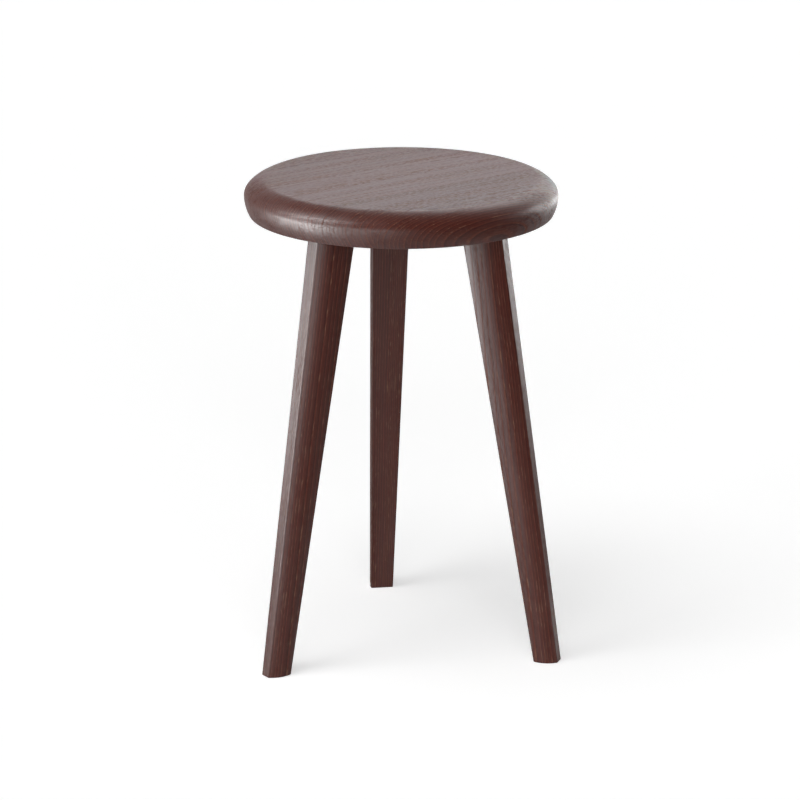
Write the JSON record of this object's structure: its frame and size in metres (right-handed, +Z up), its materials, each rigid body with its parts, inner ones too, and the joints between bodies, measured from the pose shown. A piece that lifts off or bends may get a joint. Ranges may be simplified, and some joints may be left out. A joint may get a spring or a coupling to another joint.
{
  "type": "three-legged stool",
  "caption": "Low backless stool with a thick round seat, soft rounded rim and splayed, tapering legs that end flush under the seat.",
  "frame": {"origin": "on the floor, straight under the middle of the round seat", "axes": "+Z up along the seat's axis, +X along the seat's grain, away from the left leg; the rear leg stands on the +Y side and the right leg on the -Y side"},
  "size_m": [0.3031, 0.2872, 0.45],
  "materials": {
    "seat_wood": "open-pored ash, stained dark red-brown, satin lacquer",
    "leg_wood": "open-pored ash, stained dark red-brown, satin lacquer",
    "dowel_wood": "bare fluted beech"
  },
  "bodies": {
    "root": {"seat_stave_1": "seat_wood", "seat_stave_2": "seat_wood", "seat_stave_3": "seat_wood", "seat_stave_4": "seat_wood", "seat_stave_5": "seat_wood", "seat_stave_6": "seat_wood", "leg_rear": "leg_wood", "leg_left": "leg_wood", "leg_right": "leg_wood", "dowel_rear_outer": "dowel_wood", "dowel_rear_near": "dowel_wood", "dowel_rear_far": "dowel_wood", "dowel_left_outer": "dowel_wood", "dowel_left_near": "dowel_wood", "dowel_left_far": "dowel_wood", "dowel_right_outer": "dowel_wood", "dowel_right_near": "dowel_wood", "dowel_right_far": "dowel_wood"}
  },
  "joints": []
}
